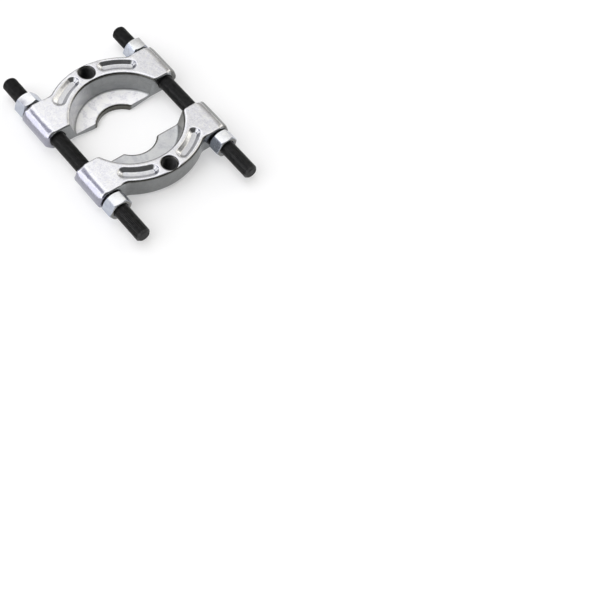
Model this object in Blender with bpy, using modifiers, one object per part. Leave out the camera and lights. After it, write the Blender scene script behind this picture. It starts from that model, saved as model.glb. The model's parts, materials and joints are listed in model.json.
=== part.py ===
"""Bearing separator: two forged jaws drawn together behind a bearing by two threaded studs.

Metres, +Z up. The studs run along Y and the jaws face each other across the XZ plane. The
origin is on the ground, in the middle of the studs. Each jaw is drawn in its own frame:
X along its split face, Y outwards from that face, and Z up from the studs' common plane.
"""
import math

import bmesh
import bpy
from mathutils import Matrix, Vector

MM = 0.001

# Studs
STUD_SPACING = 140.0 * MM
STUD_DIAMETER = 16.8 * MM
STUD_LENGTH = 235.6 * MM
STUD_END_CHAMFER = 2.2 * MM
STUD_STAGGER = 1.3 * MM             # left stud this far back, right stud this far forward
STUD_HOLE_CLEARANCE = 0.3 * MM      # radial, in the ears
STUD_HOLE_CHAMFER = 0.8 * MM

# Nuts
NUT_ACROSS_FLATS = 25.0 * MM
NUT_THICKNESS = 16.4 * MM           # with the washer face
WASHER_FACE_HEIGHT = 1.3 * MM       # the low round step towards the ear
NUT_CHAMFER_ANGLE = 30.0            # degrees, between the chamfer and the end face
NUT_FACE_SHARE = 0.94               # end face and step diameter over the width across flats
NUT_BORE_CLEARANCE = 0.3 * MM       # radial, over the stud
NUT_BORE_CHAMFER = 0.9 * MM
SEAT_GAP = 0.3 * MM                 # nut to ear
NUT_TURNS = {                       # degrees from a level top flat, as the nuts were left
    "nut_front_left": 2.0,
    "nut_front_right": 6.0,
    "nut_rear_left": 9.0,
    "nut_rear_right": 0.0,
}

# Jaws, placed
JAW_GAP = 47.8 * MM                 # between the split faces at rest
JAW_SHIFT = 5.3 * MM                # middle of the jaws, behind the middle of the studs

# Jaw body: ring and ears
EAR_ROOF = 5.1 * MM                 # walls round the stud hole: to the flat top,
EAR_SOLE = 2.9 * MM                 # to the underside,
EAR_SIDE = 6.9 * MM                 # to the ear's outer side,
EAR_WALL = 6.35 * MM                # and to the recess, at the split face
EAR_LENGTH = 43.3 * MM              # split face to nut face
EAR_FACET = 8.3 * MM                # 45 degree facets along the ear's outer side
RING_FILLET = 11.0 * MM             # nut face into the ring's outer wall
NUT_TO_FILLET = 3.07 * MM           # nut's corner to where that fillet begins
EDGE_RADIUS = 1.8 * MM

# Wedge: the low cone under the body, about the same axis as the recess
WEDGE_DEPTH = 4.0 * MM
WEDGE_LAND = 1.9 * MM               # flat left between the notch and the cone, at its narrowest
WEDGE_SLOPE = 12.2                  # degrees

# Recess and knife edge
RECESS_CENTRE = 24.6 * MM           # behind the split face, towards the other jaw
RECESS_DRAFT = 14.0                 # degrees
RECESS_LIP = 0.8 * MM
RECESS_FOOT_RADIUS = 3.0 * MM
KNIFE_THICKNESS = 7.6 * MM          # wedge land to the recess floor
NOTCH_RADIUS = 27.8 * MM
NOTCH_DEPTH = 10.0 * MM
NOTCH_LIP = 1.5 * MM

# Puller hole and pockets
HOLE_MINOR_DIAMETER = 14.0 * MM
HOLE_MOUTH_DIAMETER = 19.2 * MM
HOLE_FOOT_CHAMFER = 1.0 * MM
HOLE_INNER_LAND = 2.7 * MM          # recess rim to the hole's mouth
HOLE_OUTER_LAND = 1.2 * MM          # hole's mouth to the ring's crown
POCKET_WIDTH = 14.1 * MM
POCKET_DEPTH = 3.5 * MM
POCKET_WALL = 4.4 * MM              # width of the sloping wall round the pocket's floor
POCKET_LAND = 3.65 * MM             # hole's mouth to the pocket's near end
POCKET_SWEEP = 22.8                 # degrees, between the centres of the round ends

# Fineness of the facets
BIG_CIRCLE = 120
SMALL_CIRCLE = 48
HARD_EDGE = 25.0                    # degrees between two faces, from which an edge is rounded
OVERSHOOT = 3.0 * MM                # how far a cutter runs past the face it cuts

STUD_RADIUS = STUD_DIAMETER / 2
STUD_HOLE_RADIUS = STUD_RADIUS + STUD_HOLE_CLEARANCE
NUT_CORNER = NUT_ACROSS_FLATS / math.sqrt(3.0)
HALF_WIDTH = STUD_SPACING / 2 + STUD_HOLE_RADIUS + EAR_SIDE

# Heights in a jaw's own frame, where zero is the studs' plane
TOP = STUD_HOLE_RADIUS + EAR_ROOF
UNDERSIDE = -STUD_HOLE_RADIUS - EAR_SOLE
BASE = UNDERSIDE - WEDGE_DEPTH
FLOOR = BASE + KNIFE_THICKNESS
STUD_HEIGHT = -BASE                 # stud axis above the ground

# Radii about the recess axis, and distances behind the split face on the jaw's middle line
RECESS_CORNER = STUD_SPACING / 2 - STUD_HOLE_RADIUS - EAR_WALL
RECESS_RADIUS = math.hypot(RECESS_CORNER, RECESS_CENTRE)
WEDGE_LAND_RADIUS = RECESS_CENTRE + NOTCH_DEPTH + WEDGE_LAND
WEDGE_OUTER_RADIUS = WEDGE_LAND_RADIUS + WEDGE_DEPTH / math.tan(math.radians(WEDGE_SLOPE))
HOLE_MOUTH_RADIUS = HOLE_MOUTH_DIAMETER / 2
HOLE_OFFSET = RECESS_RADIUS - RECESS_CENTRE + HOLE_INNER_LAND + HOLE_MOUTH_RADIUS
RING_CROWN = HOLE_OFFSET + HOLE_MOUTH_RADIUS + HOLE_OUTER_LAND
POCKET_CIRCLE = HOLE_OFFSET + RECESS_CENTRE


def collection(name):
    made = bpy.data.collections.new(name)
    bpy.context.scene.collection.children.link(made)
    return made


def material(name, colour, metallic, roughness):
    made = bpy.data.materials.new(name)
    made.use_nodes = True
    shader = made.node_tree.nodes["Principled BSDF"]
    shader.inputs["Base Color"].default_value = (*colour, 1.0)
    shader.inputs["Metallic"].default_value = metallic
    shader.inputs["Roughness"].default_value = roughness
    return made


def arc(centre_x, centre_y, radius, start, end, steps):
    """Points on an arc from start to end, both in degrees, ends included."""
    points = []
    for step in range(steps + 1):
        angle = math.radians(start + (end - start) * step / steps)
        points.append((centre_x + radius * math.cos(angle), centre_y + radius * math.sin(angle)))
    return points


def evaluated_mesh(source, name):
    """A plain mesh of an object as its modifiers or its curve settings shape it."""
    graph = bpy.context.evaluated_depsgraph_get()
    mesh = bpy.data.meshes.new_from_object(source.evaluated_get(graph), depsgraph=graph)
    mesh.name = name
    return mesh


def welded(mesh):
    """Joins a curve's loose caps or a cut's doubled points, merges flat faces, turns faces outwards."""
    shell = bmesh.new()
    shell.from_mesh(mesh)
    bmesh.ops.remove_doubles(shell, verts=shell.verts, dist=0.001 * MM)
    bmesh.ops.dissolve_limit(shell, angle_limit=math.radians(0.1), verts=shell.verts, edges=shell.edges)
    bmesh.ops.recalc_face_normals(shell, faces=shell.faces)
    shell.to_mesh(mesh)
    shell.free()
    return mesh


def smoothed(mesh, angle=35.0):
    mesh.shade_smooth()
    mesh.set_sharp_from_angle(angle=math.radians(angle))
    return mesh


def linked(name, mesh, group):
    made = bpy.data.objects.new(name, mesh)
    group.objects.link(made)
    return made


def turned(name, profile, steps, group, ring=False):
    """A solid of revolution about Z: the profile runs down its outer side, top to bottom.

    A ring's profile doesn't reach the axis, and its last point joins its first.
    """
    edges = [(index, index + 1) for index in range(len(profile) - 1)]
    if ring:
        edges.append((len(profile) - 1, 0))
    line = bpy.data.meshes.new(name)
    line.from_pydata([(radius, 0.0, height) for radius, height in profile], edges, [])
    made = linked(name, line, group)
    screw = made.modifiers.new("Turn", "SCREW")
    screw.angle = math.tau
    screw.steps = steps
    screw.render_steps = steps
    screw.use_merge_vertices = True
    screw.merge_threshold = 0.001 * MM
    return made


def outline(name, points, group):
    """A flat closed outline as a filled 2D curve."""
    curve = bpy.data.curves.new(name, "CURVE")
    curve.dimensions = "2D"
    curve.fill_mode = "BOTH"
    spline = curve.splines.new("POLY")
    spline.points.add(len(points) - 1)
    for point, (x, y) in zip(spline.points, points):
        point.co = (x, y, 0.0, 1.0)
    spline.use_cyclic_u = True
    return linked(name, curve, group)


def as_mesh_object(source, group):
    """Replaces a curve object by the mesh of the same shape, so that it can be cut or cut with."""
    made = linked(source.name + "_solid", welded(evaluated_mesh(source, source.name)), group)
    made.matrix_world = source.matrix_world.copy()
    bpy.data.objects.remove(source)
    return made


def boolean(target, cutter, operation):
    modifier = target.modifiers.new(cutter.name, "BOOLEAN")
    modifier.operation = operation
    modifier.solver = "EXACT"
    modifier.object = cutter


def hide_cutter(cutter):
    cutter.hide_render = True
    cutter.display_type = "WIRE"


def drill(name, radius, top, bottom, top_flare, bottom_flare, group):
    """A cutter for a straight hole about Z whose mouths are chamfered at 45 degrees."""
    profile = [
        (0.0, top + OVERSHOOT),
        (radius + top_flare + OVERSHOOT, top + OVERSHOOT),
        (radius, top - top_flare),
        (radius, bottom + bottom_flare),
        (radius + bottom_flare + OVERSHOOT, bottom - OVERSHOOT),
        (0.0, bottom - OVERSHOOT),
    ]
    return turned(name, profile, SMALL_CIRCLE, group)


def jaw_plan():
    """Outline of ears and ring seen from above, from the right ear round the ring to the left.

    The ring's circle passes through the crown and touches both fillets.
    """
    fillet_x = STUD_SPACING / 2 - NUT_CORNER - NUT_TO_FILLET
    fillet_y = EAR_LENGTH + RING_FILLET
    rise = RING_CROWN + RING_FILLET
    ring_y = (rise ** 2 - fillet_x ** 2 - fillet_y ** 2) / (2 * (rise - fillet_y))
    slope = math.degrees(math.atan2(fillet_y - ring_y, fillet_x))
    right = [(HALF_WIDTH, 0.0), (HALF_WIDTH, EAR_LENGTH)]
    right += arc(fillet_x, fillet_y, RING_FILLET, 270.0, 180.0 + slope, 6)
    right += arc(0.0, ring_y, RING_CROWN - ring_y, slope, 90.0, 14)[1:]
    left = [(-x, y) for x, y in reversed(right[:-1])]
    return right + left


def relief_cutter(group):
    """What is taken away round the wedge, from the cone's slope out past the ears."""
    run_in = OVERSHOOT / math.tan(math.radians(WEDGE_SLOPE))
    outside = 2 * (HALF_WIDTH + RING_CROWN)
    profile = [
        (outside, UNDERSIDE),
        (outside, BASE - OVERSHOOT),
        (WEDGE_LAND_RADIUS - run_in, BASE - OVERSHOOT),
        (WEDGE_OUTER_RADIUS, UNDERSIDE),
    ]
    cutter = turned("relief", profile, BIG_CIRCLE, group, ring=True)
    cutter.location.y = -RECESS_CENTRE
    return cutter


def is_ear_side(edge):
    """Whether an edge runs along the outer side of an ear."""
    low, high = (vert.co for vert in edge.verts)
    at_side = min(abs(low.x), abs(high.x)) > HALF_WIDTH - 0.01 * MM
    return at_side and abs(low.y - high.y) > EAR_LENGTH / 2


def is_sharp_foot(edge):
    """Whether an edge is the foot of the split face, which stays sharp for the knife edge."""
    return all(vert.co.y < 0.01 * MM and vert.co.z < UNDERSIDE + 0.01 * MM for vert in edge.verts)


def bevel(shell, edges, width, segments):
    bmesh.ops.bevel(shell, geom=edges, offset=width, offset_type="OFFSET", segments=segments,
                    profile=0.5, affect="EDGES")


def jaw_body(group):
    """Ears, ring and wedge as one blank, with faceted ear sides and rounded edges."""
    slab = outline("jaw_slab", jaw_plan(), group)
    slab.data.extrude = (TOP - BASE) / 2
    slab.location.z = (TOP + BASE) / 2
    bpy.context.view_layer.update()
    blank = as_mesh_object(slab, group)
    relief = relief_cutter(group)
    boolean(blank, relief, "DIFFERENCE")
    bpy.context.view_layer.update()

    shell = bmesh.new()
    shell.from_mesh(welded(evaluated_mesh(blank, "jaw_blank")))
    shell.transform(blank.matrix_world)
    bevel(shell, [edge for edge in shell.edges if is_ear_side(edge)], EAR_FACET, 1)
    hard = [edge for edge in shell.edges
            if edge.calc_face_angle(0.0) > math.radians(HARD_EDGE) and not is_sharp_foot(edge)]
    bevel(shell, hard, EDGE_RADIUS, 3)
    mesh = bpy.data.meshes.new("jaw_body")
    shell.to_mesh(mesh)
    shell.free()
    hide_cutter(relief)
    bpy.data.objects.remove(blank)
    return linked("jaw_body", mesh, group)


def recess_cutter(group):
    """The tapered round recess, with a rounded foot and a small lip at the flat top."""
    draft = math.radians(RECESS_DRAFT)
    foot_height = FLOOR + RECESS_FOOT_RADIUS
    touch_height = foot_height - RECESS_FOOT_RADIUS * math.sin(draft)
    touch_radius = RECESS_RADIUS - (TOP - touch_height) * math.tan(draft)
    foot_radius = touch_radius - RECESS_FOOT_RADIUS * math.cos(draft)
    profile = [
        (0.0, TOP + OVERSHOOT),
        (RECESS_RADIUS + RECESS_LIP + OVERSHOOT, TOP + OVERSHOOT),
        (RECESS_RADIUS - RECESS_LIP * math.tan(draft), TOP - RECESS_LIP),
    ]
    profile += arc(foot_radius, foot_height, RECESS_FOOT_RADIUS, -RECESS_DRAFT, -90.0, 4)
    profile.append((0.0, FLOOR))
    cutter = turned("recess", profile, BIG_CIRCLE, group)
    cutter.location.y = -RECESS_CENTRE
    return cutter


def notch_cutter(group):
    """The shallow round notch in the knife edge, rounded over just short of the recess floor."""
    profile = [(0.0, FLOOR + OVERSHOOT), (NOTCH_RADIUS + NOTCH_LIP + OVERSHOOT, FLOOR + OVERSHOOT)]
    profile += arc(NOTCH_RADIUS + NOTCH_LIP, FLOOR - NOTCH_LIP, NOTCH_LIP, 105.0, 180.0, 3)
    profile += [(NOTCH_RADIUS, BASE - OVERSHOOT), (0.0, BASE - OVERSHOOT)]
    cutter = turned("notch", profile, BIG_CIRCLE, group)
    cutter.location.y = NOTCH_DEPTH - NOTCH_RADIUS
    return cutter


def pocket_cutter(side, group):
    """One curved pocket beside the puller hole, on the hole's own circle about the recess centre."""
    floor_half = POCKET_WIDTH / 2 - POCKET_WALL
    from_hole = HOLE_MOUTH_RADIUS + POCKET_LAND + POCKET_WIDTH / 2
    start = 90.0 - math.degrees(2 * math.asin(from_hole / (2 * POCKET_CIRCLE)))
    end = start - POCKET_SWEEP
    ends = [arc(0.0, -RECESS_CENTRE, POCKET_CIRCLE, angle, angle, 1)[0] for angle in (start, end)]
    points = arc(0.0, -RECESS_CENTRE, POCKET_CIRCLE + floor_half, start, end, 7)
    points += arc(*ends[1], floor_half, end, end - 180.0, 6)[1:]
    points += arc(0.0, -RECESS_CENTRE, POCKET_CIRCLE - floor_half, end, start, 7)[1:]
    points += arc(*ends[0], floor_half, start - 180.0, start - 360.0, 6)[1:-1]
    flat = outline("pocket_" + side, [(x if side == "right" else -x, y) for x, y in points], group)
    flat.data.bevel_depth = POCKET_WALL
    flat.data.bevel_resolution = 2
    flat.location.z = TOP
    flat.scale.z = POCKET_DEPTH / POCKET_WALL
    bpy.context.view_layer.update()
    return as_mesh_object(flat, group)


def jaw_mesh(group):
    """One forged jaw, in its own frame."""
    body = jaw_body(group)
    cutters = [recess_cutter(group), notch_cutter(group)]
    hole_radius = HOLE_MINOR_DIAMETER / 2
    hole = drill("puller_hole", hole_radius, TOP, UNDERSIDE,
                 HOLE_MOUTH_RADIUS - hole_radius, HOLE_FOOT_CHAMFER, group)
    hole.location.y = HOLE_OFFSET
    cutters.append(hole)
    for side, sign in (("left", -1), ("right", 1)):
        cutters.append(pocket_cutter(side, group))
        bore = drill("stud_hole_" + side, STUD_HOLE_RADIUS, EAR_LENGTH, 0.0,
                     STUD_HOLE_CHAMFER, STUD_HOLE_CHAMFER, group)
        bore.rotation_euler.x = -math.pi / 2
        bore.location.x = sign * STUD_SPACING / 2
        cutters.append(bore)
    for cutter in cutters:
        boolean(body, cutter, "DIFFERENCE")
    bpy.context.view_layer.update()
    mesh = smoothed(welded(evaluated_mesh(body, "jaw")))
    for cutter in cutters:
        hide_cutter(cutter)
    bpy.data.objects.remove(body)
    return mesh


def nut_mesh(group):
    """A hexagon nut about Z with flats facing along Y, its washer face at zero."""
    face_radius = NUT_ACROSS_FLATS / 2 * NUT_FACE_SHARE
    spread = NUT_CORNER + OVERSHOOT
    drop = (spread - face_radius) * math.tan(math.radians(NUT_CHAMFER_ANGLE))
    prism = bmesh.new()
    upright = Matrix.Translation((0.0, 0.0, NUT_THICKNESS / 2)) @ Matrix.Rotation(math.pi / 6, 4, "Z")
    bmesh.ops.create_cone(prism, cap_ends=True, segments=6, radius1=NUT_CORNER,
                          radius2=NUT_CORNER, depth=NUT_THICKNESS, matrix=upright)
    mesh = bpy.data.meshes.new("nut_prism")
    prism.to_mesh(mesh)
    prism.free()
    nut = linked("nut_prism", mesh, group)
    barrel = turned("nut_chamfers", [
        (0.0, NUT_THICKNESS),
        (face_radius, NUT_THICKNESS),
        (spread, NUT_THICKNESS - drop),
        (spread, WASHER_FACE_HEIGHT + drop),
        (face_radius, WASHER_FACE_HEIGHT),
        (face_radius, 0.0),
        (0.0, 0.0),
    ], SMALL_CIRCLE, group)
    bore = drill("nut_bore", STUD_RADIUS + NUT_BORE_CLEARANCE, NUT_THICKNESS, 0.0,
                 NUT_BORE_CHAMFER, NUT_BORE_CHAMFER, group)
    boolean(nut, barrel, "INTERSECT")
    boolean(nut, bore, "DIFFERENCE")
    bpy.context.view_layer.update()
    mesh = smoothed(evaluated_mesh(nut, "nut"), 20.0)
    for tool in (barrel, bore):
        hide_cutter(tool)
    bpy.data.objects.remove(nut)
    return mesh


def stud_mesh(group):
    """A stud about Z, centred on its own middle, with chamfered ends."""
    half = STUD_LENGTH / 2
    stud = turned("stud_blank", [
        (0.0, half),
        (STUD_RADIUS - STUD_END_CHAMFER, half),
        (STUD_RADIUS, half - STUD_END_CHAMFER),
        (STUD_RADIUS, STUD_END_CHAMFER - half),
        (STUD_RADIUS - STUD_END_CHAMFER, -half),
        (0.0, -half),
    ], SMALL_CIRCLE, group)
    bpy.context.view_layer.update()
    mesh = smoothed(evaluated_mesh(stud, "stud"))
    bpy.data.objects.remove(stud)
    return mesh


def with_material(mesh, finish):
    mesh.materials.clear()
    mesh.materials.append(finish)
    return mesh


def place(name, mesh, group, location, rotation=(0.0, 0.0, 0.0)):
    made = linked(name, mesh, group)
    made.location = location
    made.rotation_euler = rotation
    return made


def build():
    for item in list(bpy.data.objects):
        bpy.data.objects.remove(item)
    parts = collection("Bearing separator")
    cutters = collection("Cutters")

    forged = material("zinc_plated_forging", (0.72, 0.73, 0.75), 1.0, 0.32)
    zinc = material("bright_zinc", (0.80, 0.81, 0.83), 1.0, 0.25)
    black = material("black_oxide", (0.02, 0.02, 0.022), 0.6, 0.45)
    jaw = with_material(jaw_mesh(cutters), forged)
    nut = with_material(nut_mesh(cutters), zinc)
    stud = with_material(stud_mesh(cutters), black)

    along_y = -math.pi / 2
    for side, sign in (("left", -1), ("right", 1)):
        place("stud_" + side, stud, parts,
              (sign * STUD_SPACING / 2, -sign * STUD_STAGGER, STUD_HEIGHT), (along_y, 0.0, 0.0))
    for end, facing in (("front", -1), ("rear", 1)):
        split_y = JAW_SHIFT + facing * JAW_GAP / 2
        heading = 0.0 if facing > 0 else math.pi
        place("jaw_" + end, jaw, parts, (0.0, split_y, STUD_HEIGHT), (0.0, 0.0, heading))
        seat_y = split_y + facing * (EAR_LENGTH + SEAT_GAP)
        for side, sign in (("left", -1), ("right", 1)):
            name = "nut_" + end + "_" + side
            piece = place(name, nut, parts, (sign * STUD_SPACING / 2, seat_y, STUD_HEIGHT))
            turn = Matrix.Rotation(-facing * math.radians(NUT_TURNS[name]), 4, "Z")
            tip = Matrix.Rotation(-facing * math.pi / 2, 4, "X")
            piece.rotation_euler = (tip @ turn).to_euler()


build()
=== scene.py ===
"""Looks of the bearing separator: zinc plated forged jaws on black threaded studs, in a pale studio.

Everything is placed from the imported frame, in metres: studs along Y, +Z up, the ground at zero.
"""

import json
import math

import bmesh
import bpy
import numpy as np
from mathutils import Matrix, Vector, noise

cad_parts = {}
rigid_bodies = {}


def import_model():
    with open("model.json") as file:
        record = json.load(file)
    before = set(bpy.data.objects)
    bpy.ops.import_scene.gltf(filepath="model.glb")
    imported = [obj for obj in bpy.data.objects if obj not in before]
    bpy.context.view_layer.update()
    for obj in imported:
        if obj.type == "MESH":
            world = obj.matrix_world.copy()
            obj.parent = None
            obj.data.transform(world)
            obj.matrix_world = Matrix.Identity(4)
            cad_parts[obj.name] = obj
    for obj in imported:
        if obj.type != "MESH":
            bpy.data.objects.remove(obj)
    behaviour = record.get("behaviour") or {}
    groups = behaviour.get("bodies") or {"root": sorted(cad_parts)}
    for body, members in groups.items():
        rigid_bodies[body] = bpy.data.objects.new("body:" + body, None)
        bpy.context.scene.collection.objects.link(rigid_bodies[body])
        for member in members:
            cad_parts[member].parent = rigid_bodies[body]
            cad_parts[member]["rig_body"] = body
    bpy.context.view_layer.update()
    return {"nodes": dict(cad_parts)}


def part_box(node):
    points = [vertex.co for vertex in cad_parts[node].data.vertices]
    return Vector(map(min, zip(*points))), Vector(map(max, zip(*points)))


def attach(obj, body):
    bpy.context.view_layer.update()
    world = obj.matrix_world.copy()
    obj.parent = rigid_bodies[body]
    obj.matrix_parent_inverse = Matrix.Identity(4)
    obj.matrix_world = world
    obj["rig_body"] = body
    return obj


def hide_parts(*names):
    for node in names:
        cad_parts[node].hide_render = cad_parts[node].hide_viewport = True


MM = 0.001

# Camera, fitted to the photograph: where it looks from, and where the frame's origin falls in the picture
PICTURE_SIZE = 608
CAMERA_AZIMUTH = -60.10
CAMERA_ELEVATION = 60.25
CAMERA_ROLL = 20.87
CAMERA_DISTANCE = 1031.3 * MM       # from the origin, along the view axis
CAMERA_FOCAL_PIXELS = 954.1
CAMERA_SEES_FROM = 0.05
CAMERA_SEES_TO = 20.0
ORIGIN_PIXEL = (130.0, 137.0)
SENSOR_WIDTH = 36.0

# Meshes
SAME_POINT = 0.001 * MM             # points nearer than this are joined
FLAT_WITHIN = 0.1                   # degrees between faces that count as one flat face

# Threads
THREAD_PITCH = 1.5 * MM
THREAD_DEPTH = 0.92 * MM
THREAD_SEGMENTS = 48
THREAD_SHARP_FROM = 35.0            # degrees
STUD_END_CHAMFER = 2.2 * MM

# Tapped puller holes, upright in the jaws
HOLE_CREST_RADIUS = 7.0 * MM
HOLE_RADIUS_SLACK = 0.05 * MM       # points this near the crest radius belong to the plain hole
HOLE_THREAD_DEPTH = 0.9 * MM
HOLE_OFFSET = 71.8 * MM             # from the middle between the jaws
HOLE_TOP = 26.8 * MM                # where the mouth's chamfer meets the thread's crests
HOLE_FOOT = 5.0 * MM
HOLE_BACK = 0.5 * MM                # how far the threaded lining reaches into the jaw

# Nuts
NUT_EDGE_WIDTH = 0.25 * MM
NUT_EDGE_SEGMENTS = 2
NUT_EDGES_FROM = 20.0               # degrees between faces whose edge is broken
NUT_SHARP_FROM = 50.0               # degrees
WASHER_FACE = 1.5 * MM              # length of painted deep shade at the nut's seat

# Forged surface; smoothing is counted in rounds
FORGING_VOXEL = 0.5 * MM
FORGING_SMOOTHING = 5
FORGING_TRIANGLES = 190000
HOLLOW_WIDTH = 6.0 * MM
DIMPLE_WIDTH = 2.2 * MM
HOLLOW_DEPTH = 0.10 * MM
FACET_EDGES = ((77.3 * MM, 29.4 * MM), (85.6 * MM, 21.1 * MM))     # distance from the middle, and height
FACET_EDGE_REACH = 5.0 * MM
FACET_EDGE_SMOOTHING = 130
RECESS_RIM_RADIUS = 60.2 * MM
RECESS_AXIS_OFFSET = 0.7 * MM       # the axis lies this far past the middle between the jaws
RIM_REACH = 3.4 * MM
RIM_SMOOTHING = 40
RING_RADIUS = 86.2 * MM             # outer wall
RING_AXIS_OFFSET = 3.6 * MM         # the axis lies this far past the middle between the jaws
RING_EDGE_REACH = 5.2 * MM
RING_EDGE_SMOOTHING = 60

# Heights and places of the jaws' forms; along the studs, from the middle between the jaws
TOP_HEIGHT = 29.4 * MM
STUD_HEIGHT = 15.6 * MM
STUD_ACROSS = 70.0 * MM
EAR_END = 67.2 * MM
SPLIT_FACE = 23.9 * MM
NOTCH_AXIS_OFFSET = 6.1 * MM
NOTCH_LIP_RADIUS = 29.8 * MM
RECESS_FLOOR_BELOW = 9.6 * MM
RECESS_WALL_FROM = 45.0 * MM        # distance from the recess axis
OUTER_SIDES_FROM = 77.0 * MM        # to the left and right
SEAT_RADIUS = 12.3 * MM             # ring of painted deep shade under each nut
BORE_RADIUS = 9.1 * MM
HOLE_MOUTH_RADIUS = 9.7 * MM

# Pockets: straight sloping walls round a flat floor
POCKET_FLOOR_HALF = 2.65 * MM
POCKET_WALL = 4.4 * MM
POCKET_DEPTH = 3.5 * MM
POCKET_CIRCLE = 72.5 * MM           # about the recess axis
POCKETS_FROM = 11.2 * MM            # to the left and right
POCKET_EDGE_SLACK = 0.3 * MM
POCKET_DEPTH_SLACK = 0.02 * MM

# Marks on the jaws: painted light and shade, and the blasted floors. Pairs are where a mark starts and where
# it is full
NORMAL_SMOOTHING = 3
MARK_SMOOTHING = 2
LEVEL_UPRIGHT = (0.74, 0.94)        # upright part of the normal: side, with painted shade, at the first; level at the second
SLOPE_UPRIGHT = 0.55                # floors and slopes have more than this
WALL_UPRIGHT = 0.6                  # walls have less than this
# Painted shade in the pocket floors
POCKET_FLOOR_DEPTHS = (2.0 * MM, 4.5 * MM)
POCKET_FLOOR_LEVEL = 0.72
# Painted shade on the front jaw's recess floor
FRONT_FLOOR_PAINTED_SHADE = 0.60
# Painted shade on the right outer sides
RIGHT_SIDE_DIM = 0.80
RIGHT_SIDE_PAINTED_SHADE = 0.80
RIGHT_SIDE_EDGE = 1.5 * MM
SEAT_DEPTH = 0.5 * MM
# Painted shade on the recess walls, most on the front jaw's right part, and painted light towards their left
# end
RECESS_WALL_DIM = 0.22
RECESS_WALL_SLACK = 0.5 * MM
RECESS_WALL_LEVEL = 0.55            # at its left end
RECESS_WALL_LEVEL_ACROSS = (-4.0 * MM, -32.0 * MM)
FRONT_WALL_DIM = 0.95               # on the right
FRONT_WALL_DIM_FROM = 20.0 * MM
SPLIT_FACE_SLACK = 0.8 * MM
# Painted shade on the ring's outer wall
RING_WALL_DIM = 0.36                # on the left and in the middle
RING_WALL_DIM_ACROSS = (50.0 * MM, 25.0 * MM)
RING_WALL_FADE = (62.0 * MM, 38.0 * MM)
RING_WALL_SLACK = 2.0 * MM
POCKET_LINE = 0.9 * MM              # how deep the painted darker line round each pocket reaches
POCKET_SLOPE_SLACK = 0.2 * MM
# Painted light on pocket slopes that face right, painted shade on the others
POCKET_BRIGHT_FROM = 0.12           # part of the normal that points to the right
POCKET_BRIGHT = 0.85
POCKET_SHADED = 0.32
EDGE_LINE = 1.6 * MM                # half width of the painted dark line along the round rims
EDGE_LINE_DEPTHS = (0.45 * MM, 2.2 * MM)
RECESS_LINE_ACROSS = (-48.0 * MM, -26.0 * MM)
RING_LINE_HALF = 64.0 * MM
FRONT_LIP = 1.6 * MM                # strip of painted shade along the front jaw's split face

# Studio
FLOOR_RADIUS = 1.3
BOWL_RADIUS = 1.9
BOWL_HEIGHT = 0.35
BOWL_STEPS = 10
BOWL_SEGMENTS = 64
PAPER = 0.62
FLOOR_GLOW = 0.32                   # only in the picture and in reflections, never light on the object
KEY_TOWARDS = (-0.32, 0.18, 0.93)
KEY_STRENGTH = 1.4
KEY_SPREAD = 65.0                   # degrees
SKY = (1.21, 1.21, 1.22)

# Towards which part of the sky, from and to how many degrees off it, and how bright
SKY_PARTS = (
    ((0.10, -0.80, 0.58), 45.0, 60.0, (0.14, 0.14, 0.14)),
    ((0.00, 0.00, -1.00), 103.0, 112.0, (0.75, 0.75, 0.76)),
    ((-0.84, 0.42, 0.34), 26.0, 44.0, (2.80, 2.80, 2.85)),
    ((0.93, 0.25, 0.00), 30.0, 75.0, (0.34, 0.33, 0.31)),
    ((0.98, 0.00, 0.16), 12.0, 28.0, (1.70, 1.66, 1.52)),
    ((0.76, -0.08, 0.65), 10.0, 24.0, (1.20, 1.16, 1.08)),
    ((-0.10, 0.97, 0.14), 14.0, 30.0, (0.36, 0.36, 0.39)),
    ((0.36, -0.87, 0.26), 18.0, 32.0, (0.09, 0.09, 0.09)),
    ((-0.40, 0.476, 0.783), 13.0, 27.0, (0.32, 0.32, 0.41)),
)


def clear_scene():
    for item in list(bpy.data.objects):
        bpy.data.objects.remove(item)


# Meshes from the frame

def linked(name, data):
    made = bpy.data.objects.new(name, data)
    bpy.context.scene.collection.objects.link(made)
    return made


def node_shell(node):
    """The CAD node's solid as an editable mesh with its doubled points joined and flat faces whole."""
    shell = bmesh.new()
    shell.from_mesh(frame["nodes"][node].data)
    bmesh.ops.remove_doubles(shell, verts=shell.verts, dist=SAME_POINT)
    bmesh.ops.dissolve_limit(shell, angle_limit=math.radians(FLAT_WITHIN), verts=shell.verts,
                             edges=shell.edges)
    return shell


def mesh_from(shell, name):
    mesh = bpy.data.meshes.new(name)
    shell.to_mesh(mesh)
    shell.free()
    return mesh


def dressed(name, mesh, node, finish):
    """A piece that stands for a CAD node and moves with its body."""
    piece = linked(name, mesh)
    mesh.materials.clear()
    mesh.materials.append(finish)
    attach(piece, frame["nodes"][node]["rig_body"])
    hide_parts(node)
    return piece


def applied(piece):
    """Bakes a piece's modifiers into its mesh."""
    graph = bpy.context.evaluated_depsgraph_get()
    mesh = bpy.data.meshes.new_from_object(piece.evaluated_get(graph), depsgraph=graph)
    piece.modifiers.clear()
    piece.data = mesh
    return piece


def jaws_middle():
    """How far the middle between the two jaws lies along the studs."""
    return (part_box("jaw_front")[1].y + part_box("jaw_rear")[0].y) / 2


def side_of(end):
    """Which way along the studs a jaw lies from the middle between the two."""
    return 1 if end == "rear" else -1


def recess_axis(end):
    return jaws_middle() - side_of(end) * RECESS_AXIS_OFFSET


def ring_axis(end):
    return jaws_middle() - side_of(end) * RING_AXIS_OFFSET


def hole_centre(end):
    return Vector((0.0, jaws_middle() + side_of(end) * HOLE_OFFSET, 0.0))


# Forged jaws

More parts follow.
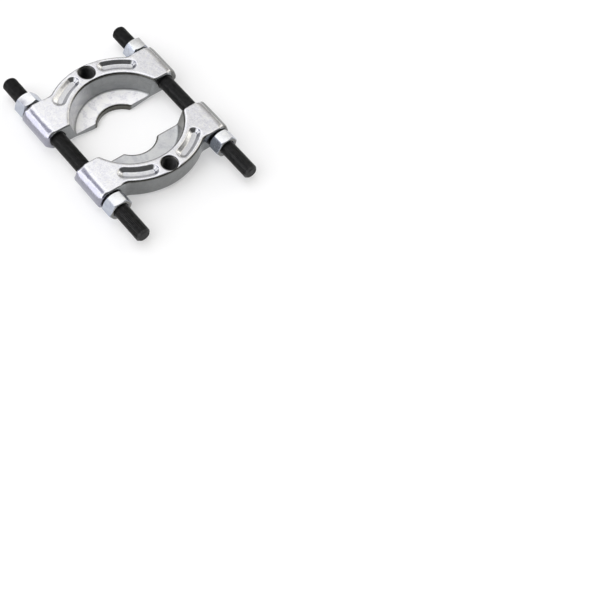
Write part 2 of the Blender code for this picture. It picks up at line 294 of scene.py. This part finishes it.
def widen_hole(shell, centre):
    """Opens the plain puller hole to its thread's roots, along the chamfers at its two mouths."""
    half_way = (HOLE_TOP + HOLE_FOOT) / 2
    for vert in shell.verts:
        out = Vector((vert.co.x - centre.x, vert.co.y - centre.y, 0.0))
        if abs(out.length - HOLE_CREST_RADIUS) < HOLE_RADIUS_SLACK:
            vert.co += out.normalized() * HOLE_THREAD_DEPTH
            vert.co.z += HOLE_THREAD_DEPTH if vert.co.z > half_way else -HOLE_THREAD_DEPTH


def straighten_pockets(shell, end):
    """Turns the pockets' hollow walls into plain slopes from the rim to the floor."""
    axis_y = recess_axis(end)
    reach = POCKET_FLOOR_HALF + POCKET_WALL + POCKET_EDGE_SLACK
    for vert in shell.verts:
        depth = TOP_HEIGHT - vert.co.z
        if not POCKET_DEPTH_SLACK < depth < POCKET_DEPTH - POCKET_DEPTH_SLACK:
            continue
        off_circle = math.hypot(vert.co.x, vert.co.y - axis_y) - POCKET_CIRCLE
        if abs(off_circle) > reach or abs(vert.co.x) < POCKETS_FROM:
            continue
        from_floor = math.sqrt(max(0.0, 1.0 - (depth / POCKET_DEPTH) ** 2))
        vert.co.z = TOP_HEIGHT - POCKET_DEPTH * (1.0 - from_floor)


def mesh_arrays(mesh):
    points = np.empty(len(mesh.vertices) * 3)
    mesh.vertices.foreach_get("co", points)
    edges = np.empty(len(mesh.edges) * 2, dtype=np.int64)
    mesh.edges.foreach_get("vertices", edges)
    return points.reshape(-1, 3), edges.reshape(-1, 2)


def mesh_normals(mesh):
    normals = np.empty(len(mesh.vertices) * 3)
    mesh.vertices.foreach_get("normal", normals)
    return normals.reshape(-1, 3)


def relaxed(values, edges, rounds, weight=1.0):
    """Each point's values moved half way towards the mean of its neighbours', again and again."""
    count = len(values)
    ends = np.concatenate((edges[:, 0], edges[:, 1]))
    others = np.concatenate((edges[:, 1], edges[:, 0]))
    neighbours = np.maximum(np.bincount(ends, minlength=count), 1)
    for _ in range(rounds):
        for column in range(values.shape[1]):
            mean = np.bincount(ends, values[others, column], count) / neighbours
            values[:, column] += 0.5 * weight * (mean - values[:, column])
    return values


def nearness(away, reach):
    """One up to half the reach, then fading to nothing."""
    return np.clip(2.0 - 2.0 * away / reach, 0.0, 1.0)


def facet_edge_weight(points):
    """One on the long edges of the ears' outer facets, fading to nothing beside them."""
    weight = np.zeros(len(points))
    for across, height in FACET_EDGES:
        away = np.hypot(np.abs(points[:, 0]) - across, points[:, 2] - height)
        weight = np.maximum(weight, nearness(away, FACET_EDGE_REACH))
    return weight


def rim_weight(points, axis_y, radius, reach):
    """One on a round rim of the top, fading to nothing beside it."""
    out = np.hypot(points[:, 0], points[:, 1] - axis_y) - radius
    return nearness(np.hypot(out, points[:, 2] - TOP_HEIGHT), reach)


def roughen(mesh):
    """Presses the shallow hollows of a forging into the skin, never outwards."""
    points, _ = mesh_arrays(mesh)
    hollows = []
    for point in points:
        wide = noise.noise(Vector(point) / HOLLOW_WIDTH)
        hollows.append(wide + 0.5 * noise.noise(Vector(point) / DIMPLE_WIDTH))
    depth = HOLLOW_DEPTH * (1.0 + np.array(hollows))[:, None] / 2
    points -= mesh_normals(mesh) * np.clip(depth, 0.0, None)
    mesh.vertices.foreach_set("co", points.ravel())
    mesh.update()


def store(mesh, name, values, domain="POINT"):
    mesh.attributes.new(name, "FLOAT", domain).data.foreach_set("value", np.ascontiguousarray(values))


def share(values, start, full):
    """How far each value has gone from the start to where a mark is full, from 0 to 1."""
    return np.clip((values - start) / (full - start), 0.0, 1.0)


def within(values, low, high):
    return (values > low) & (values < high)


class SkinPlaces:
    """Where each point of a jaw lies, seen from the forms round it, and which way it faces."""

    def __init__(self, mesh, end):
        points, self.edges = mesh_arrays(mesh)
        normals = relaxed(mesh_normals(mesh), self.edges, NORMAL_SMOOTHING)
        self.to_right = normals[:, 0]
        self.upright = normals[:, 2]
        self.x = points[:, 0]
        self.aside = np.abs(self.x)
        self.along = np.abs(points[:, 1] - jaws_middle())
        self.depth = TOP_HEIGHT - points[:, 2]
        self.from_stud = np.hypot(self.aside - STUD_ACROSS, points[:, 2] - STUD_HEIGHT)
        self.from_hole = np.hypot(self.x, self.along - HOLE_OFFSET)
        self.from_recess = np.hypot(self.x, points[:, 1] - recess_axis(end))
        self.from_ring = np.hypot(self.x, points[:, 1] - ring_axis(end))
        self.in_recess = points[:, 2] < RECESS_FLOOR_BELOW
        self.on_knife_edge = np.hypot(self.x, self.along - NOTCH_AXIS_OFFSET) < NOTCH_LIP_RADIUS


def painted_deep_shade_places(at):
    """Painted deep shade: the bores, the tapped holes and the rings under the nuts."""
    painted_deep_shade = (at.from_stud < BORE_RADIUS) | (at.from_hole < HOLE_MOUTH_RADIUS)
    return painted_deep_shade | ((at.from_stud < SEAT_RADIUS) & (at.along > EAR_END - SEAT_DEPTH))


def mark_recess_wall(at, end, level, painted_shade):
    # Painted shade on the recess walls, with painted light towards the left end
    wall = (at.upright < WALL_UPRIGHT) & ~at.in_recess & (at.along > SPLIT_FACE + SPLIT_FACE_SLACK)
    wall &= within(at.from_recess, RECESS_WALL_FROM, RECESS_RIM_RADIUS + RECESS_WALL_SLACK)
    painted_shade[wall] = RECESS_WALL_DIM
    level[wall] = RECESS_WALL_LEVEL * share(at.x[wall], *RECESS_WALL_LEVEL_ACROSS)
    if end == "front":
        painted_shade[wall & (at.x > FRONT_WALL_DIM_FROM)] = FRONT_WALL_DIM


def mark_ring_wall(at, painted_shade):
    # Painted shade on the ring's outer wall, fading out to the right and towards the ears
    wall = (at.upright < WALL_UPRIGHT) & (np.abs(at.from_ring - RING_RADIUS) < RING_WALL_SLACK)
    wall &= at.aside < RING_WALL_FADE[0]
    painted_shade[wall] = RING_WALL_DIM * share(at.x[wall], *RING_WALL_DIM_ACROSS)
    painted_shade[wall] *= share(at.aside[wall], *RING_WALL_FADE)


def mark_pocket_slopes(at, level):
    # Painted light and shade: slopes facing right are bright, the others shaded
    slopes = within(at.depth, POCKET_LINE, POCKET_DEPTH - POCKET_SLOPE_SLACK) & (at.upright > SLOPE_UPRIGHT)
    slopes &= np.abs(at.from_recess - POCKET_CIRCLE) < POCKET_FLOOR_HALF + POCKET_WALL
    slopes &= at.aside > POCKETS_FROM
    level[slopes] = np.where(at.to_right[slopes] > POCKET_BRIGHT_FROM, POCKET_BRIGHT, POCKET_SHADED)


def edge_lines(at, end):
    """Painted shade: darker lines along the recess rim, the ring's edge and the thin inner edge."""
    on_recess = (np.abs(at.from_recess - RECESS_RIM_RADIUS) < EDGE_LINE) * share(at.x, *RECESS_LINE_ACROSS)
    on_ring = (np.abs(at.from_ring - RING_RADIUS) < EDGE_LINE) & (at.aside < RING_LINE_HALF)
    line = np.maximum(on_recess, on_ring) * within(at.depth, *EDGE_LINE_DEPTHS)
    lip = at.on_knife_edge
    if end == "front":
        lip = lip | (at.along < SPLIT_FACE + FRONT_LIP)
    return np.maximum(line, at.in_recess & lip)


def mark_skin(mesh, end):
    """Stores how level and blasted the skin is at each point, and its painted light and shade, which the
    material reads.
    """
    at = SkinPlaces(mesh, end)
    blasted = (at.in_recess & (at.upright > SLOPE_UPRIGHT) & ~at.on_knife_edge).astype(float)
    # Painted light and shade: level faces take the bright plate, sides the darker copy
    level = share(np.abs(at.upright), *LEVEL_UPRIGHT)
    # Painted shade: the pocket floors take less of the bright level colour
    level *= np.where(within(at.depth, *POCKET_FLOOR_DEPTHS), POCKET_FLOOR_LEVEL, 1.0)
    # Painted shade: the front jaw's recess floor is made darker than the rear's
    if end == "front":
        level *= 1.0 - FRONT_FLOOR_PAINTED_SHADE * blasted
    # Painted shade: the right outer sides are darkened
    right_side = share(at.x, OUTER_SIDES_FROM, OUTER_SIDES_FROM + RIGHT_SIDE_EDGE)
    level *= 1.0 - RIGHT_SIDE_PAINTED_SHADE * right_side
    painted_shade = np.where(at.x > OUTER_SIDES_FROM, RIGHT_SIDE_DIM, 0.0)
    # Painted reflection: the left outer sides take a lighter lilac copy of the side colour
    painted_lilac_sheen = (at.x < -OUTER_SIDES_FROM).astype(float)
    mark_recess_wall(at, end, level, painted_shade)
    mark_ring_wall(at, painted_shade)
    mark_pocket_slopes(at, level)
    line = edge_lines(at, end)
    # Painted shade: the lines darken the skin and take away the bright level colour
    painted_shade = np.maximum(painted_shade, line)
    level *= 1.0 - line
    painted_deep_shade = painted_deep_shade_places(at).astype(float)
    marks = {"level": level, "blasted": blasted, "painted_deep_shade": painted_deep_shade, "painted_shade": painted_shade, "painted_lilac_sheen": painted_lilac_sheen}
    smoothed = relaxed(np.stack(list(marks.values()), axis=1), at.edges, MARK_SMOOTHING)
    for column, name in enumerate(marks):
        store(mesh, name, smoothed[:, column])


def forged_jaw(end, finish):
    """A jaw with the soft edges and slightly uneven skin of a forging."""
    node = "jaw_" + end
    shell = node_shell(node)
    widen_hole(shell, hole_centre(end))
    straighten_pockets(shell, end)
    mesh = mesh_from(shell, node + "_forging")
    piece = dressed(node + "_forging", mesh, node, finish)
    remesh = piece.modifiers.new("Skin", "REMESH")
    remesh.mode = "VOXEL"
    remesh.voxel_size = FORGING_VOXEL
    applied(piece)
    points, edges = mesh_arrays(piece.data)
    points = relaxed(points, edges, FORGING_SMOOTHING)
    points = relaxed(points, edges, FACET_EDGE_SMOOTHING, facet_edge_weight(points))
    rim = rim_weight(points, recess_axis(end), RECESS_RIM_RADIUS, RIM_REACH)
    points = relaxed(points, edges, RIM_SMOOTHING, rim)
    ring_edge = rim_weight(points, ring_axis(end), RING_RADIUS, RING_EDGE_REACH)
    points = relaxed(points, edges, RING_EDGE_SMOOTHING, ring_edge)
    piece.data.vertices.foreach_set("co", points.ravel())
    piece.data.update()
    coarser = piece.modifiers.new("Coarser", "DECIMATE")
    coarser.ratio = min(1.0, FORGING_TRIANGLES / (2 * len(piece.data.polygons)))
    applied(piece)
    roughen(piece.data)
    mark_skin(piece.data, end)
    piece.data.shade_smooth()
    return piece


# Threads

def thread_profile():
    """Depth below the crest over one pitch: narrow flat crest, 60 degree flanks, flat root."""
    crest = THREAD_PITCH / 8
    flank = THREAD_PITCH * 5 / 16
    root = THREAD_PITCH / 4
    foot = crest + flank
    return [(0.0, 0.0), (crest, 0.0), (foot, THREAD_DEPTH), (foot + root, THREAD_DEPTH), (THREAD_PITCH, 0.0)]


def thread_skin(shell, low, high, reach_at):
    """A right-hand thread about Z from low to high, as an open skin. Gives back its rims' edges."""
    rows = (math.ceil((high - low) / THREAD_PITCH) + 2) * THREAD_SEGMENTS

    def point(row, along, depth):
        angle = math.tau * row / THREAD_SEGMENTS
        height = low - THREAD_PITCH + THREAD_PITCH * row / THREAD_SEGMENTS + along
        height = max(low, min(high, height))
        reach = reach_at(height, depth)
        return Vector((reach * math.cos(angle), reach * math.sin(angle), height))

    grid = []
    for row in range(rows + 1):
        grid.append([shell.verts.new(point(row, along, depth)) for along, depth in thread_profile()])
    for near, far in zip(grid, grid[1:]):
        for step in range(len(near) - 1):
            shell.faces.new((near[step], far[step], far[step + 1], near[step + 1]))
    bmesh.ops.remove_doubles(shell, verts=shell.verts, dist=SAME_POINT)
    bmesh.ops.dissolve_degenerate(shell, dist=SAME_POINT, edges=shell.edges)
    return open_edges(shell)


def open_edges(shell):
    return [edge for edge in shell.edges if len(edge.link_faces) == 1]


def thread_mesh(shell, name):
    mesh = mesh_from(shell, name)
    mesh.shade_smooth()
    mesh.set_sharp_from_angle(angle=math.radians(THREAD_SHARP_FROM))
    return mesh


def hole_thread(end, finish):
    """The puller hole's right-hand thread, as a closed lining set into the jaw."""
    back = HOLE_CREST_RADIUS + HOLE_THREAD_DEPTH + HOLE_BACK

    def reach_at(height, depth):
        chamfer = HOLE_CREST_RADIUS + max(height - HOLE_TOP, HOLE_FOOT - height)
        return max(HOLE_CREST_RADIUS + HOLE_THREAD_DEPTH * depth / THREAD_DEPTH, chamfer)

    shell = bmesh.new()
    rims = thread_skin(shell, HOLE_FOOT - HOLE_THREAD_DEPTH, HOLE_TOP + HOLE_THREAD_DEPTH, reach_at)
    grown = bmesh.ops.extrude_edge_only(shell, edges=rims)["geom"]
    outer = [item for item in grown if isinstance(item, bmesh.types.BMVert)]
    for vert in outer:
        flat = Vector((vert.co.x, vert.co.y, 0.0)).normalized() * back
        vert.co = Vector((flat.x, flat.y, vert.co.z))
    shell.edges.ensure_lookup_table()
    bmesh.ops.bridge_loops(shell, edges=open_edges(shell))
    bmesh.ops.recalc_face_normals(shell, faces=shell.faces)
    shell.transform(Matrix.Translation(hole_centre(end)))
    name = "jaw_%s_hole_thread" % end
    piece = linked(name, thread_mesh(shell, name))
    # Painted shade: the lining takes the black material, so the hole reads dark
    piece.data.materials.append(finish)
    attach(piece, "jaw_" + end)
    return piece


def threaded_stud(side, finish):
    """A stud with its whole thread and chamfered ends, in the place of the plain CAD stud."""
    node = "stud_" + side
    low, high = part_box(node)
    radius = (high.x - low.x) / 2
    half = (high.y - low.y) / 2

    def reach_at(height, depth):
        return min(radius - depth, radius - STUD_END_CHAMFER + (half - abs(height)))

    shell = bmesh.new()
    rims = thread_skin(shell, -half, half, reach_at)
    bmesh.ops.holes_fill(shell, edges=rims)
    bmesh.ops.recalc_face_normals(shell, faces=shell.faces)
    middle = (low + high) / 2
    shell.transform(Matrix.Translation(middle) @ Matrix.Rotation(-math.pi / 2, 4, "X"))
    return dressed(node + "_thread", thread_mesh(shell, node + "_thread"), node, finish)


# Nuts

def soft_nut(node, finish):
    """A nut with softly broken edges."""
    mesh = mesh_from(node_shell(node), node + "_plated")
    piece = dressed(node + "_plated", mesh, node, finish)
    edges = piece.modifiers.new("Edges", "BEVEL")
    edges.width = NUT_EDGE_WIDTH
    edges.segments = NUT_EDGE_SEGMENTS
    edges.limit_method = "ANGLE"
    edges.angle_limit = math.radians(NUT_EDGES_FROM)
    applied(piece)
    low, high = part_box(node)
    # Painted deep shade on the face at the nut's seat
    if "front" in node:
        painted_deep_shade = [face.center.y > high.y - WASHER_FACE for face in piece.data.polygons]
    else:
        painted_deep_shade = [face.center.y < low.y + WASHER_FACE for face in piece.data.polygons]
    store(piece.data, "painted_deep_shade", np.array(painted_deep_shade, dtype=float), "FACE")
    piece.data.shade_smooth()
    piece.data.set_sharp_from_angle(angle=math.radians(NUT_SHARP_FROM))
    return piece


# Materials

class Shader:
    """A material's node tree, with short calls for the nodes used here."""

    def __init__(self, name):
        self.material = bpy.data.materials.new(name)
        self.material.use_nodes = True
        self.tree = self.material.node_tree
        self.surface = self.tree.nodes["Principled BSDF"]
        self.place = self.tree.nodes.new("ShaderNodeTexCoord").outputs["Object"]

    def set(self, **values):
        for name, value in values.items():
            self.surface.inputs[name.replace("_", " ")].default_value = value

    def link(self, source, target):
        self.tree.links.new(source, self.surface.inputs[target])

    def noise(self, scale, detail=3.0, roughness=0.5):
        node = self.tree.nodes.new("ShaderNodeTexNoise")
        node.inputs["Scale"].default_value = scale
        node.inputs["Detail"].default_value = detail
        node.inputs["Roughness"].default_value = roughness
        self.tree.links.new(self.place, node.inputs["Vector"])
        return node.outputs["Fac"]

    def ramp(self, factor, *stops):
        """A colour for a number, from stops of a place and its colour."""
        node = self.tree.nodes.new("ShaderNodeValToRGB")
        elements = node.color_ramp.elements
        for element, (position, colour) in zip((elements[0], elements[1]), (stops[0], stops[-1])):
            element.position = position
            element.color = (*colour, 1.0)
        for position, colour in stops[1:-1]:
            elements.new(position).color = (*colour, 1.0)
        self.tree.links.new(factor, node.inputs["Fac"])
        return node.outputs["Color"]

    def remap(self, factor, low, high, start=0.3, end=0.7):
        """A number that goes from low to high while the factor goes from start to end."""
        node = self.tree.nodes.new("ShaderNodeMapRange")
        node.inputs["From Min"].default_value = start
        node.inputs["From Max"].default_value = end
        node.inputs["To Min"].default_value = low
        node.inputs["To Max"].default_value = high
        self.tree.links.new(factor, node.inputs["Value"])
        return node.outputs["Result"]

    def stored(self, name):
        """A number that the mesh carries at each point."""
        node = self.tree.nodes.new("ShaderNodeAttribute")
        node.attribute_name = name
        return node.outputs["Fac"]

    def facing(self, axis, start, end):
        """How squarely the surface faces along an axis of the object, either way: 0 at start, 1 at end."""
        normal = self.tree.nodes.new("ShaderNodeTexCoord").outputs["Normal"]
        parts = self.tree.nodes.new("ShaderNodeSeparateXYZ")
        self.tree.links.new(normal, parts.inputs[0])
        size = self.arithmetic("ABSOLUTE", parts.outputs[axis])
        return self.remap(size, 0.0, 1.0, start, end)

    def arithmetic(self, operation, *numbers):
        node = self.tree.nodes.new("ShaderNodeMath")
        node.operation = operation
        for place, number in enumerate(numbers):
            self.tree.links.new(number, node.inputs[place])
        return node.outputs[0]

    def middle(self, first, second):
        """The mean of two numbers."""
        return self.remap(self.arithmetic("ADD", first, second), 0.0, 1.0, 0.0, 2.0)

    def blend(self, factor, first, second):
        node = self.tree.nodes.new("ShaderNodeMix")
        node.data_type = "RGBA"
        self.tree.links.new(factor, node.inputs["Factor"])
        self.tree.links.new(first, node.inputs["A"])
        self.tree.links.new(second, node.inputs["B"])
        return node.outputs["Result"]

    def bump(self, height, strength, distance, under=None):
        node = self.tree.nodes.new("ShaderNodeBump")
        node.inputs["Strength"].default_value = strength
        node.inputs["Distance"].default_value = distance
        self.tree.links.new(height, node.inputs["Height"])
        if under:
            self.tree.links.new(under, node.inputs["Normal"])
        return node.outputs["Normal"]


def plated_forging():
    """Zinc plate over a blasted forging: bright on the level faces, with painted light and shade on the
    rest.
    """
    shader = Shader("zinc_plated_forging")
    shader.set(Metallic=1.0)
    clouds = shader.noise(scale=180.0, detail=5.0, roughness=0.62)
    mixed = shader.middle(clouds, shader.noise(scale=620.0, detail=2.0))
    mottles = shader.middle(mixed, shader.noise(scale=95.0, detail=4.0, roughness=0.6))
    level = shader.ramp(mixed, (0.36, (0.79, 0.79, 0.85)), (0.50, (0.88, 0.88, 0.91)),
                        (0.64, (0.94, 0.94, 0.93)))
    sand = shader.ramp(mottles, (0.41, (0.76, 0.76, 0.80)), (0.50, (0.96, 0.96, 0.97)),
                       (0.57, (1.0, 1.0, 0.99)))
    # Painted shade: the sides take a far darker copy of the plate than the level faces
    painted_shaded_sides = shader.ramp(mixed, (0.36, (0.25, 0.26, 0.265)), (0.64, (0.30, 0.31, 0.315)))
    # Painted reflection: lilac copy of the sides for the left outer sides
    outer = shader.ramp(mixed, (0.36, (0.30, 0.30, 0.36)), (0.64, (0.37, 0.37, 0.42)))
    # Painted shade: a near black copy of the plate where the skin is marked shaded
    painted_shade_colour = shader.ramp(mixed, (0.36, (0.085, 0.085, 0.078)), (0.64, (0.115, 0.112, 0.100)))
    # Painted deep shade: a near black copy of the plate in the holes and under the nuts
    painted_deep_shade = shader.ramp(clouds, (0.35, (0.045, 0.045, 0.042)), (0.65, (0.075, 0.073, 0.070)))
    sides = shader.blend(shader.stored("painted_lilac_sheen"), painted_shaded_sides, outer)
    sides = shader.blend(shader.stored("painted_shade"), sides, painted_shade_colour)
    level = shader.blend(shader.stored("blasted"), level, sand)
    plate = shader.blend(shader.stored("level"), sides, level)
    shader.link(shader.blend(shader.stored("painted_deep_shade"), plate, painted_deep_shade), "Base Color")
    shader.link(shader.remap(shader.stored("blasted"), 1.0, 0.12, 0.0, 1.0), "Metallic")
    plain = shader.remap(shader.noise(scale=240.0), 0.17, 0.26)
    blasted = shader.remap(shader.stored("blasted"), 0.0, 0.30, 0.0, 1.0)
    shader.link(shader.arithmetic("ADD", plain, blasted), "Roughness")
    grit = shader.bump(shader.noise(scale=1500.0, detail=2.0, roughness=0.6), 0.25, 0.05 * MM)
    shader.link(shader.bump(shader.noise(scale=330.0), 0.30, 0.09 * MM, grit), "Normal")
    return shader.material


def bright_zinc():
    """Smoother, slightly blue plate on the nuts, with painted shade on the side flanks and end faces and
    deep painted shade at the seat.
    """
    shader = Shader("bright_zinc")
    shader.set(Metallic=1.0)
    clouds = shader.noise(scale=200.0, detail=4.0)
    top = shader.ramp(clouds, (0.35, (0.83, 0.84, 0.86)), (0.65, (0.90, 0.91, 0.91)))
    flanks = shader.ramp(clouds, (0.35, (0.43, 0.46, 0.54)), (0.65, (0.51, 0.54, 0.60)))
    ends = shader.ramp(clouds, (0.35, (0.18, 0.18, 0.17)), (0.65, (0.24, 0.24, 0.23)))
    painted_deep_shade = shader.ramp(clouds, (0.35, (0.030, 0.030, 0.030)), (0.65, (0.050, 0.050, 0.050)))
    # Painted light and shade: flanks facing up or down are bright, the other flanks and the end faces darker
    # copies
    sides = shader.blend(shader.facing("Z", 0.70, 0.92), flanks, top)
    plate = shader.blend(shader.facing("Y", 0.70, 0.90), sides, ends)
    shader.link(shader.blend(shader.stored("painted_deep_shade"), plate, painted_deep_shade), "Base Color")
    shader.link(shader.remap(shader.noise(scale=300.0), 0.18, 0.28), "Roughness")
    shader.link(shader.bump(shader.noise(scale=900.0, detail=2.0), 0.15, 0.04 * MM), "Normal")
    return shader.material


def black_oxide():
    """Oiled black oxide: a dark satin skin; on the tapped holes' linings it is painted shade."""
    shader = Shader("black_oxide")
    shader.set(Metallic=0.0)
    clouds = shader.noise(scale=220.0)
    colour = shader.ramp(clouds, (0.35, (0.009, 0.009, 0.009)), (0.65, (0.022, 0.022, 0.022)))
    shader.link(colour, "Base Color")
    shader.link(shader.remap(shader.facing("Y", 0.90, 0.98), 0.42, 0.10, 0.0, 1.0), "Specular IOR Level")
    shader.link(shader.remap(shader.noise(scale=500.0, detail=2.0), 0.32, 0.46), "Roughness")
    return shader.material


# Studio

def pale_paper():
    """Matt paper that is brighter in the picture and in reflections than as a source of light."""
    paper = Shader("paper")
    paper.set(Base_Color=(PAPER, PAPER, PAPER, 1.0), Roughness=0.9, Specular_IOR_Level=0.0,
              Emission_Color=(1.0, 1.0, 1.0, 1.0))
    path = paper.tree.nodes.new("ShaderNodeLightPath")
    seen = path.outputs["Is Camera Ray"]
    for kind in ("Is Glossy Ray", "Is Transmission Ray"):
        seen = paper.arithmetic("MAXIMUM", seen, path.outputs[kind])
    paper.link(paper.remap(seen, 0.0, FLOOR_GLOW, 0.0, 1.0), "Emission Strength")
    return paper.material


def pale_floor():
    """A floor that rises into a low bowl all round."""
    rings = [(0.0, 0.0), (FLOOR_RADIUS, 0.0)]
    for step in range(1, BOWL_STEPS + 1):
        part = step / BOWL_STEPS
        rings.append((FLOOR_RADIUS + (BOWL_RADIUS - FLOOR_RADIUS) * part, BOWL_HEIGHT * part ** 2))
    shell = bmesh.new()
    line = [shell.verts.new((radius, 0.0, height)) for radius, height in rings]
    edges = [shell.edges.new(pair) for pair in zip(line, line[1:])]
    bmesh.ops.spin(shell, geom=line + edges, axis=(0, 0, 1), cent=(0, 0, 0), angle=math.tau,
                   steps=BOWL_SEGMENTS, use_duplicate=False)
    bmesh.ops.remove_doubles(shell, verts=shell.verts, dist=10 * SAME_POINT)
    bmesh.ops.recalc_face_normals(shell, faces=shell.faces)
    mesh = mesh_from(shell, "floor")
    mesh.shade_smooth()
    floor = linked("floor", mesh)
    mesh.materials.append(pale_paper())


def studio_light():
    """A soft dome with darker and brighter parts, which the metal shows as streaks and shaded walls."""
    world = bpy.data.worlds.new("studio")
    bpy.context.scene.world = world
    world.use_nodes = True
    tree = world.node_tree
    background = tree.nodes["Background"]
    direction = tree.nodes.new("ShaderNodeTexCoord").outputs["Generated"]
    colour = None
    for towards, inner, outer, shade in SKY_PARTS:
        dot = tree.nodes.new("ShaderNodeVectorMath")
        dot.operation = "DOT_PRODUCT"
        dot.inputs[1].default_value = Vector(towards).normalized()
        tree.links.new(direction, dot.inputs[0])
        mask = tree.nodes.new("ShaderNodeMapRange")
        mask.interpolation_type = "SMOOTHSTEP"
        mask.inputs["From Min"].default_value = math.cos(math.radians(outer))
        mask.inputs["From Max"].default_value = math.cos(math.radians(inner))
        tree.links.new(dot.outputs["Value"], mask.inputs["Value"])
        mix = tree.nodes.new("ShaderNodeMix")
        mix.data_type = "RGBA"
        mix.inputs["A"].default_value = (*SKY, 1.0)
        mix.inputs["B"].default_value = (*shade, 1.0)
        tree.links.new(mask.outputs["Result"], mix.inputs["Factor"])
        if colour:
            tree.links.new(colour, mix.inputs["A"])
        colour = mix.outputs["Result"]
    tree.links.new(colour, background.inputs["Color"])
    background.inputs["Strength"].default_value = 1.0


def key_light():
    """A broad soft lamp above, which lights matt surfaces; the metal mirrors the dome instead."""
    data = bpy.data.lights.new("key", "SUN")
    data.energy = KEY_STRENGTH
    data.angle = math.radians(KEY_SPREAD)
    lamp = linked("key", data)
    lamp.rotation_euler = Vector(KEY_TOWARDS).to_track_quat("Z", "Y").to_euler()
    lamp.visible_glossy = False


def place_camera():
    """The camera looks along a fitted direction, with the frame's origin at its own pixel."""
    azimuth = math.radians(CAMERA_AZIMUTH)
    elevation = math.radians(CAMERA_ELEVATION)
    roll = math.radians(CAMERA_ROLL)
    back = Vector((math.sin(azimuth) * math.cos(elevation), -math.cos(azimuth) * math.cos(elevation),
                   math.sin(elevation)))
    level = Vector((math.cos(azimuth), math.sin(azimuth), 0.0))
    upright = back.cross(level)
    right = math.cos(roll) * level + math.sin(roll) * upright
    up = math.cos(roll) * upright - math.sin(roll) * level
    across = (ORIGIN_PIXEL[0] - PICTURE_SIZE / 2) / CAMERA_FOCAL_PIXELS
    above = -(ORIGIN_PIXEL[1] - PICTURE_SIZE / 2) / CAMERA_FOCAL_PIXELS
    centre = CAMERA_DISTANCE * (back - across * right - above * up)
    data = bpy.data.cameras.new("camera")
    data.sensor_width = SENSOR_WIDTH
    data.lens = CAMERA_FOCAL_PIXELS / PICTURE_SIZE * SENSOR_WIDTH
    data.clip_start = CAMERA_SEES_FROM
    data.clip_end = CAMERA_SEES_TO
    camera = linked("camera", data)
    camera.matrix_world = Matrix.Translation(centre) @ Matrix((right, up, back)).transposed().to_4x4()
    bpy.context.scene.camera = camera


clear_scene()
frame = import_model()
bpy.context.scene.view_settings.view_transform = "Standard"

forging = plated_forging()
zinc = bright_zinc()
black = black_oxide()
for jaw_end in ("front", "rear"):
    forged_jaw(jaw_end, forging)
    hole_thread(jaw_end, black)
    for nut_side in ("left", "right"):
        soft_nut("nut_%s_%s" % (jaw_end, nut_side), zinc)
for stud_side in ("left", "right"):
    threaded_stud(stud_side, black)
pale_floor()
studio_light()
key_light()
place_camera()
